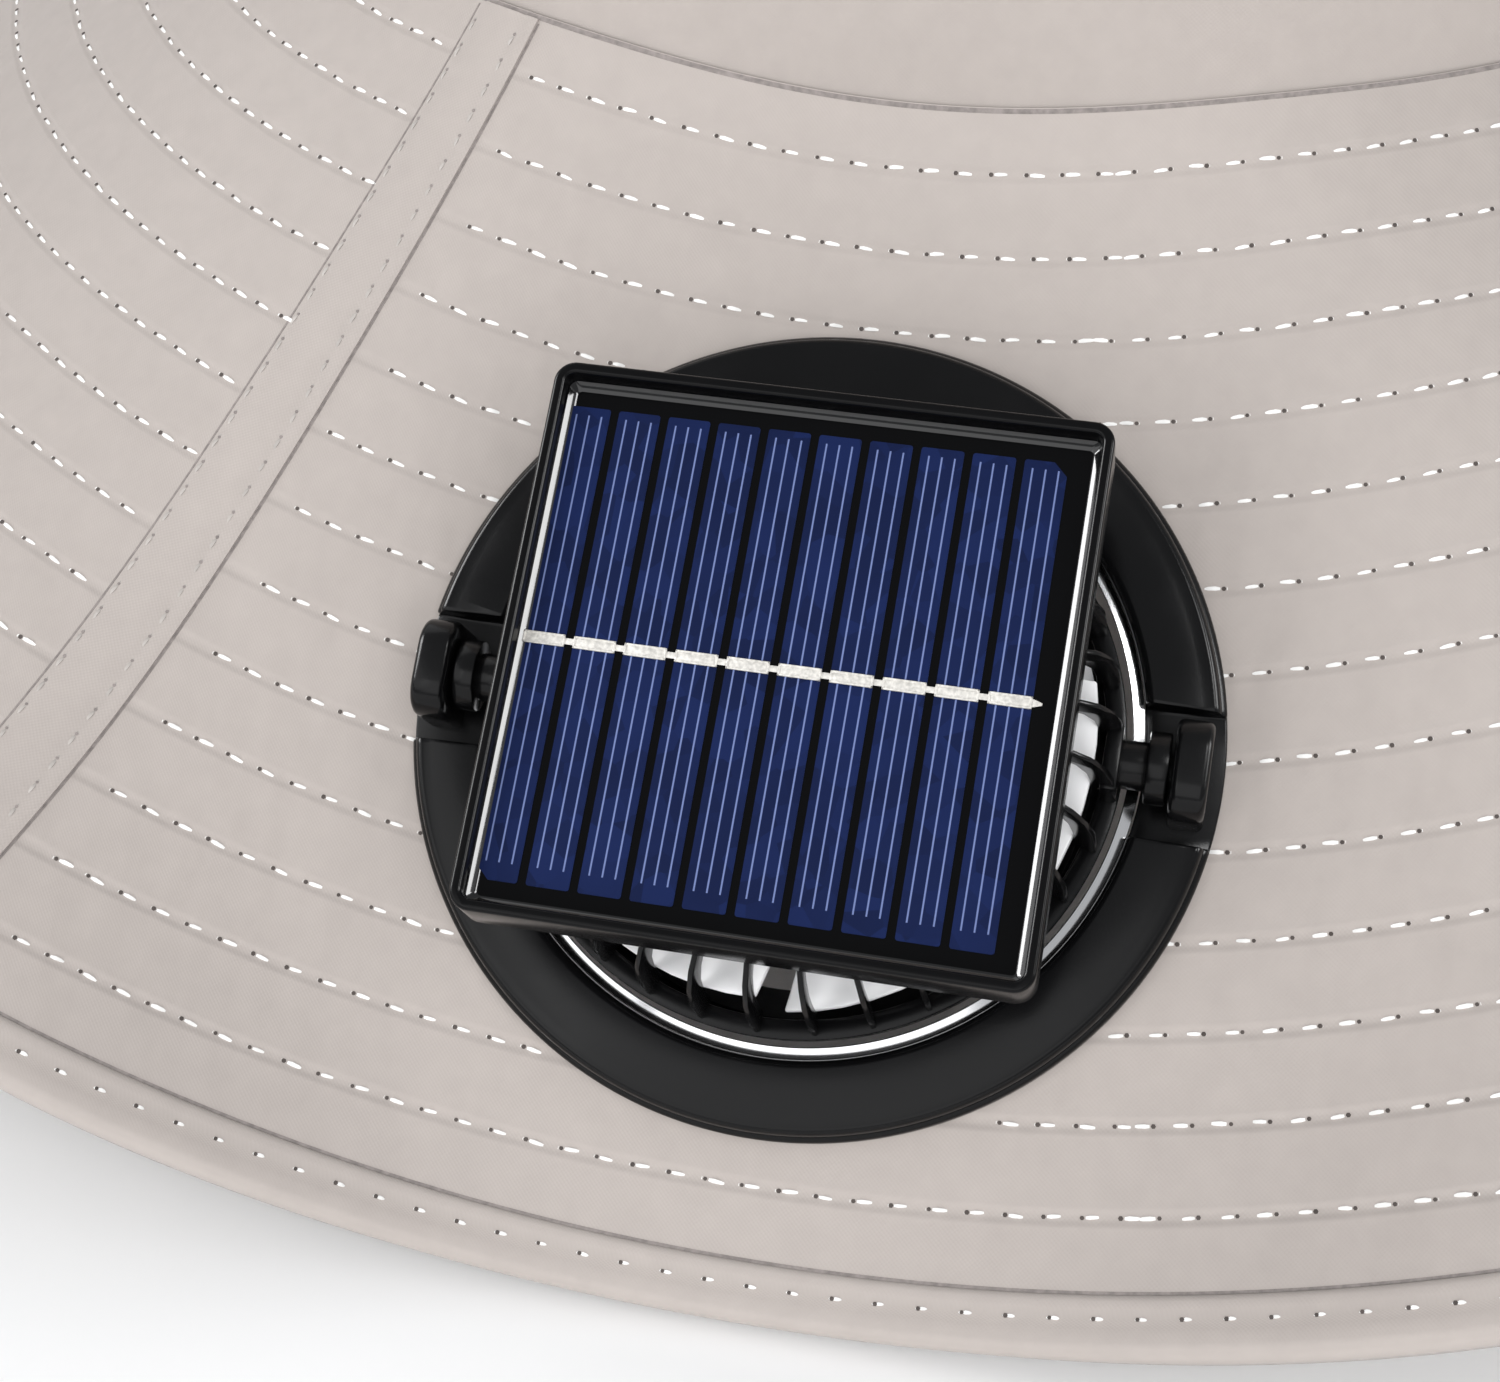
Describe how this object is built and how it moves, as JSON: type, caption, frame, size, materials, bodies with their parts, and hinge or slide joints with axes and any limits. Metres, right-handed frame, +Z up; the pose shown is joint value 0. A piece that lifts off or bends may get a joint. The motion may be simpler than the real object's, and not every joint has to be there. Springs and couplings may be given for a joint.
{
  "type": "solar fan hat",
  "caption": "Wide-brimmed cloth sun hat with a round fan through the front of the brim and a small solar panel over the fan; the fan head tilts and its rotor spins.",
  "frame": {"origin": "under the middle of the hat, on the surface that the edge of the brim rests on", "axes": "+Z up through the crown, -Y towards the fan at the front, +X across the hat"},
  "size_m": [0.4152, 0.3664, 0.1889],
  "materials": {
    "cloth": "smooth, matte",
    "hem_cloth": "smooth, matte",
    "satin_black": "satin",
    "gloss_black": "gloss",
    "polished_trim": "mirror",
    "motor_case": "satin",
    "white_blades": "semi-gloss",
    "resin": "clear gloss over black",
    "cell": "blue silicon under clear gloss",
    "solder": "tinned, satin"
  },
  "bodies": {
    "hat": {"crown_top": "cloth", "crown_side": "cloth", "brim": "cloth", "brim_hem": "hem_cloth", "brim_seam_left": "hem_cloth", "brim_seam_right": "hem_cloth", "fan_bezel": "satin_black", "bezel_back_ring": "satin_black", "trim_ring": "polished_trim"},
    "fan_head": {"fan_grille": "satin_black", "fan_drum": "satin_black", "fan_motor": "motor_case", "solar_tray": "gloss_black", "solar_board": "gloss_black", "solar_resin": "resin", "cell_ribbon": "solder", "solar_cell_01": "cell", "solar_cell_02": "cell", "solar_cell_03": "cell", "solar_cell_04": "cell", "solar_cell_05": "cell", "solar_cell_06": "cell", "solar_cell_07": "cell", "solar_cell_08": "cell", "solar_cell_09": "cell", "solar_cell_10": "cell"},
    "rotor": {"fan_rotor": "white_blades"}
  },
  "joints": [
    {"name": "head_tilt", "type": "hinge", "parent": "hat", "child": "fan_head", "pos_m": [0, -0.14379, 0.04563], "axis": [1, 0, 0], "range_deg": [-20.1, 29.9]},
    {"name": "rotor_spin", "type": "hinge", "parent": "fan_head", "child": "rotor", "pos_m": [0, -0.14379, 0.04563], "axis": [0, -0.6179, 0.7863], "continuous": true}
  ]
}
